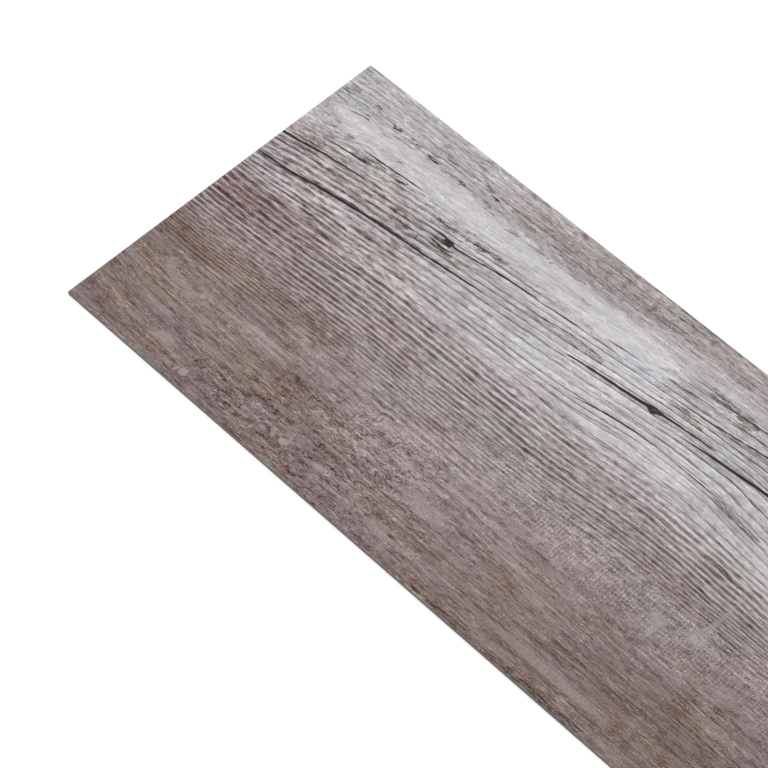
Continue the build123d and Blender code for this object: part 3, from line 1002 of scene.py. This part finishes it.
    # Cracks
    crack = heart
    for number in range(layer_count):
        (distance, breadth, _, _), _ = nodes.values(f"cracks_{number}")
        ragged = total(nodes.math("ABSOLUTE", distance), (0.6, short_fibre))
        inner, outer = product(breadth, 0.75), nodes.math("MULTIPLY_ADD", breadth, 1.3, 0.14)
        cut = product(step(ragged, outer, inner), step(breadth, 0.02, 0.18))
        # Painted shade beside each crack, fading out 1.3 mm beyond its edge
        painted_crack_shade = product(step(ragged, nodes.math("ADD", breadth, 1.3), breadth), step(breadth, 0.05, 0.5))
        tone = total(tone, (-0.11, painted_crack_shade))
        crack = nodes.math("MAXIMUM", crack, cut)

    # Tints: each is given as it looks on a middle grey, and is weaker where the tone is lighter
    tint = nodes.mix(warmth, settings.limed, settings.mauve)
    stain = product(olive, step(isle, 0.0, 1.0, 1.15, 0.55), step(tone, 0.4, 0.62, 1.2, 0.6))
    stain = total(stain, (0.4, pit), (0.2, chip), (0.2, smudge))
    tint = nodes.mix(nodes.math("MINIMUM", stain, 1.0), tint, settings.olive)
    tint = nodes.mix(nodes.math("MINIMUM", total(lichen, (0.5, pit)), 0.85), tint, settings.lichen)
    tint = nodes.mix(russet, tint, settings.russet)
    tint = nodes.vector("SCALE", nodes.vector("SUBTRACT", tint, (0.5, 0.5, 0.5)), total(1.4, (-0.7, tone)))
    colour = nodes.vector("ADD", tint, nodes.combine(tone, tone, tone))
    colour = nodes.mix(product(crack, 0.95), colour, settings.crack)

    # The cut wall: filled vinyl under the clear wear layer, the filled vinyl's colour darkened with painted
    # shade
    height = nodes.add("ShaderNodeSeparateXYZ")
    nodes.feed(height.inputs[0], flat)
    height, wear_z = height.outputs[2], FACE_Z - settings.wear_layer
    on_wall = step(height, FACE_Z - 0.22, FACE_Z - 0.3)
    in_wear = step(height, wear_z - 0.12, wear_z)
    wall = nodes.mix(in_wear, settings.edge, settings.wear)
    colour = nodes.mix(on_wall, colour, wall)

    gamma = nodes.add("ShaderNodeGamma")
    nodes.feed(gamma.inputs["Color"], colour)
    nodes.feed(gamma.inputs["Gamma"], DISPLAY_GAMMA)
    nodes.feed(shader.inputs["Base Color"], nodes.vector("SCALE", gamma.outputs[0], 1 / LIGHT))
    nodes.feed(shader.inputs["Roughness"], step(short_fibre, -0.2, 0.2, 0.5, 0.64))
    nodes.feed(shader.inputs["Specular IOR Level"], 0.3)

    # Fine embossing
    level = total(0.0, (1.6, short_fibre), (0.9, long_fibre), (0.7, speck), (-1.0, crack), (-0.5, rim),
                  (-0.6, pit))
    nodes.emboss(shader, level, 0.05, 0.9)
    return material


def liner_paper(settings, fibre):
    """Siliconised paper: off-white, faintly fibrous, with a slight sheen."""
    material, nodes, shader = new_material("Release paper")
    flat = nodes.vector("SCALE", nodes.add("ShaderNodeTexCoord").outputs["Object"], 1 / MM)
    fibres = nodes.group(fibre, Place=flat, Length=1.6, Width=0.9, Seed=1.0, Detail=4.0)
    cloudy = nodes.group(fibre, Place=flat, Length=9.0, Width=7.0, Seed=2.0, Detail=4.0)
    shade = tuple(0.85 * c for c in settings.paper)
    colour = nodes.mix(nodes.step(cloudy, -0.15, 0.15, 0.0, 0.5), settings.paper, shade)
    colour = nodes.mix(nodes.step(fibres, -0.2, 0.2, 0.0, 0.4), colour, shade)
    nodes.feed(shader.inputs["Base Color"], colour)
    nodes.feed(shader.inputs["Roughness"], nodes.step(cloudy, -0.2, 0.2, 0.38, 0.5))
    nodes.emboss(shader, fibres, 0.02)
    return material


def shared_fibre():
    """The fibre group, built once."""
    return bpy.data.node_groups.get("Fibre") or fibre_group()


# Operators

class PLANK_OT_vinyl_plank(bpy.types.Operator):
    """Makes the printed and embossed plank"""
    bl_idname = "plank.vinyl_plank"
    bl_label = "Vinyl plank"

    def execute(self, context):
        settings = context.scene.plank
        layers = crack_layers(crack_lines())
        mesh = plank_mesh(settings, layers)
        mesh.shade_smooth()
        mesh.set_sharp_from_angle(angle=math.radians(60))
        mesh.materials.append(printed_vinyl(settings, shared_fibre(), len(layers)))
        plank = bpy.data.objects.new("vinyl_plank_printed", mesh)
        context.scene.collection.objects.link(plank)
        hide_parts("vinyl_plank")
        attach(plank, "root")
        return {"FINISHED"}


class PLANK_OT_release_liner(bpy.types.Operator):
    """Finishes the release liner as siliconised paper"""
    bl_idname = "plank.release_liner"
    bl_label = "Release liner"

    def execute(self, context):
        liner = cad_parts["release_liner"]
        paper = liner_paper(context.scene.liner, shared_fibre())
        for slot in liner.material_slots:
            slot.material = paper
        return {"FINISHED"}


class PLANK_OT_stage(bpy.types.Operator):
    """Sets out the floor, the lights and the camera"""
    bl_idname = "plank.stage"
    bl_label = "Stage"

    def execute(self, context):
        scene, settings = context.scene, context.scene.stage
        scene.view_settings.view_transform = "Standard"
        self.floor(scene, settings)
        self.lights(scene, settings)
        self.camera(scene, settings)
        return {"FINISHED"}

    def floor(self, scene, settings):
        """A large flat floor, a hair under the liner and open under all of the plank but its rim,
        so that the underside can be seen from below."""
        side, inset, z = 6.0, 2 * MM, -0.02 * MM
        around = ((-1, -1), (1, -1), (1, 1), (-1, 1))
        half_length, half_width = LENGTH / 2 * MM - inset, HALF_WIDTH * MM - inset
        corners = [(x * side, y * side, z) for x, y in around]
        corners += [(x * half_length, y * half_width, z) for x, y in around]
        mesh = bpy.data.meshes.new("floor")
        mesh.from_pydata(corners, [], [(k, (k + 1) % 4, (k + 1) % 4 + 4, k + 4) for k in range(4)])
        material, nodes, shader = new_material("Floor")
        nodes.feed(shader.inputs["Base Color"], (*settings.floor, 1.0))
        nodes.feed(shader.inputs["Roughness"], 0.9)
        nodes.feed(shader.inputs["Specular IOR Level"], 0.0)
        mesh.materials.append(material)
        floor = bpy.data.objects.new("floor", mesh)
        scene.collection.objects.link(floor)
        floor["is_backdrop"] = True

    def lights(self, scene, settings):
        """Even light from all around, and one large soft lamp above the plank."""
        world = bpy.data.worlds.new("Even light")
        world.use_nodes = True
        sky = world.node_tree.nodes["Background"]
        sky.inputs["Color"].default_value = (1.0, 1.0, 1.0, 1.0)
        sky.inputs["Strength"].default_value = settings.sky
        scene.world = world
        place, target, side = Vector((-0.3, -0.45, 1.9)), Vector((-0.3, 0, 0)), 2.2
        lamp = bpy.data.lights.new("key", "AREA")
        lamp.energy, lamp.shape, lamp.size = settings.key, "SQUARE", side
        key = bpy.data.objects.new("key", lamp)
        key.location = place
        key.rotation_euler = (place - target).to_track_quat("Z", "Y").to_euler()
        scene.collection.objects.link(key)

    def camera(self, scene, settings):
        """A camera without roll, set by where it stands from the point that it is aimed at."""
        level = math.cos(settings.elevation)
        back = Vector((math.sin(settings.azimuth) * level, -math.cos(settings.azimuth) * level,
                       math.sin(settings.elevation)))
        aim = Vector((settings.aim_along - LENGTH / 2, settings.aim_across, FACE_Z)) * MM
        lens = bpy.data.cameras.new("camera")
        lens.lens, lens.sensor_width = settings.lens, 36.0
        lens.clip_start, lens.clip_end = 0.05, 50.0
        camera = bpy.data.objects.new("camera", lens)
        turn = back.to_track_quat("Z", "Y").to_matrix().to_4x4()
        camera.matrix_world = Matrix.Translation(aim + back * settings.distance * MM) @ turn
        scene.collection.objects.link(camera)
        scene.camera = camera


class PLANK_PT_panel(bpy.types.Panel):
    """Lists the plank's settings and the steps that make it"""
    bl_label = "Plank"
    bl_idname = "PLANK_PT_panel"
    bl_space_type = "VIEW_3D"
    bl_region_type = "UI"
    bl_category = "Plank"

    def draw(self, context):
        steps = {"plank": "plank.vinyl_plank", "liner": "plank.release_liner", "stage": "plank.stage"}
        for name, step in steps.items():
            settings = getattr(context.scene, name)
            box = self.layout.box()
            box.operator(step)
            for entry in settings.__annotations__:
                box.prop(settings, entry)


SETTINGS = {"plank": PlankSettings, "liner": LinerSettings, "stage": StageSettings}
CLASSES = (*SETTINGS.values(), PLANK_OT_vinyl_plank, PLANK_OT_release_liner, PLANK_OT_stage, PLANK_PT_panel)


def register():
    for item in CLASSES:
        bpy.utils.register_class(item)
    for name, group in SETTINGS.items():
        setattr(bpy.types.Scene, name, PointerProperty(type=group))


def unregister():
    for name in SETTINGS:
        delattr(bpy.types.Scene, name)
    for item in reversed(CLASSES):
        bpy.utils.unregister_class(item)


def main():
    register()
    bpy.ops.plank.stage()
    bpy.ops.plank.vinyl_plank()
    bpy.ops.plank.release_liner()
    boxes = {"cad": CAD_BOX, "visual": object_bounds()}
    sizes = {name: [[float(c) for c in corner] for corner in box] for name, box in boxes.items()}


if __name__ == "__main__":
    main()
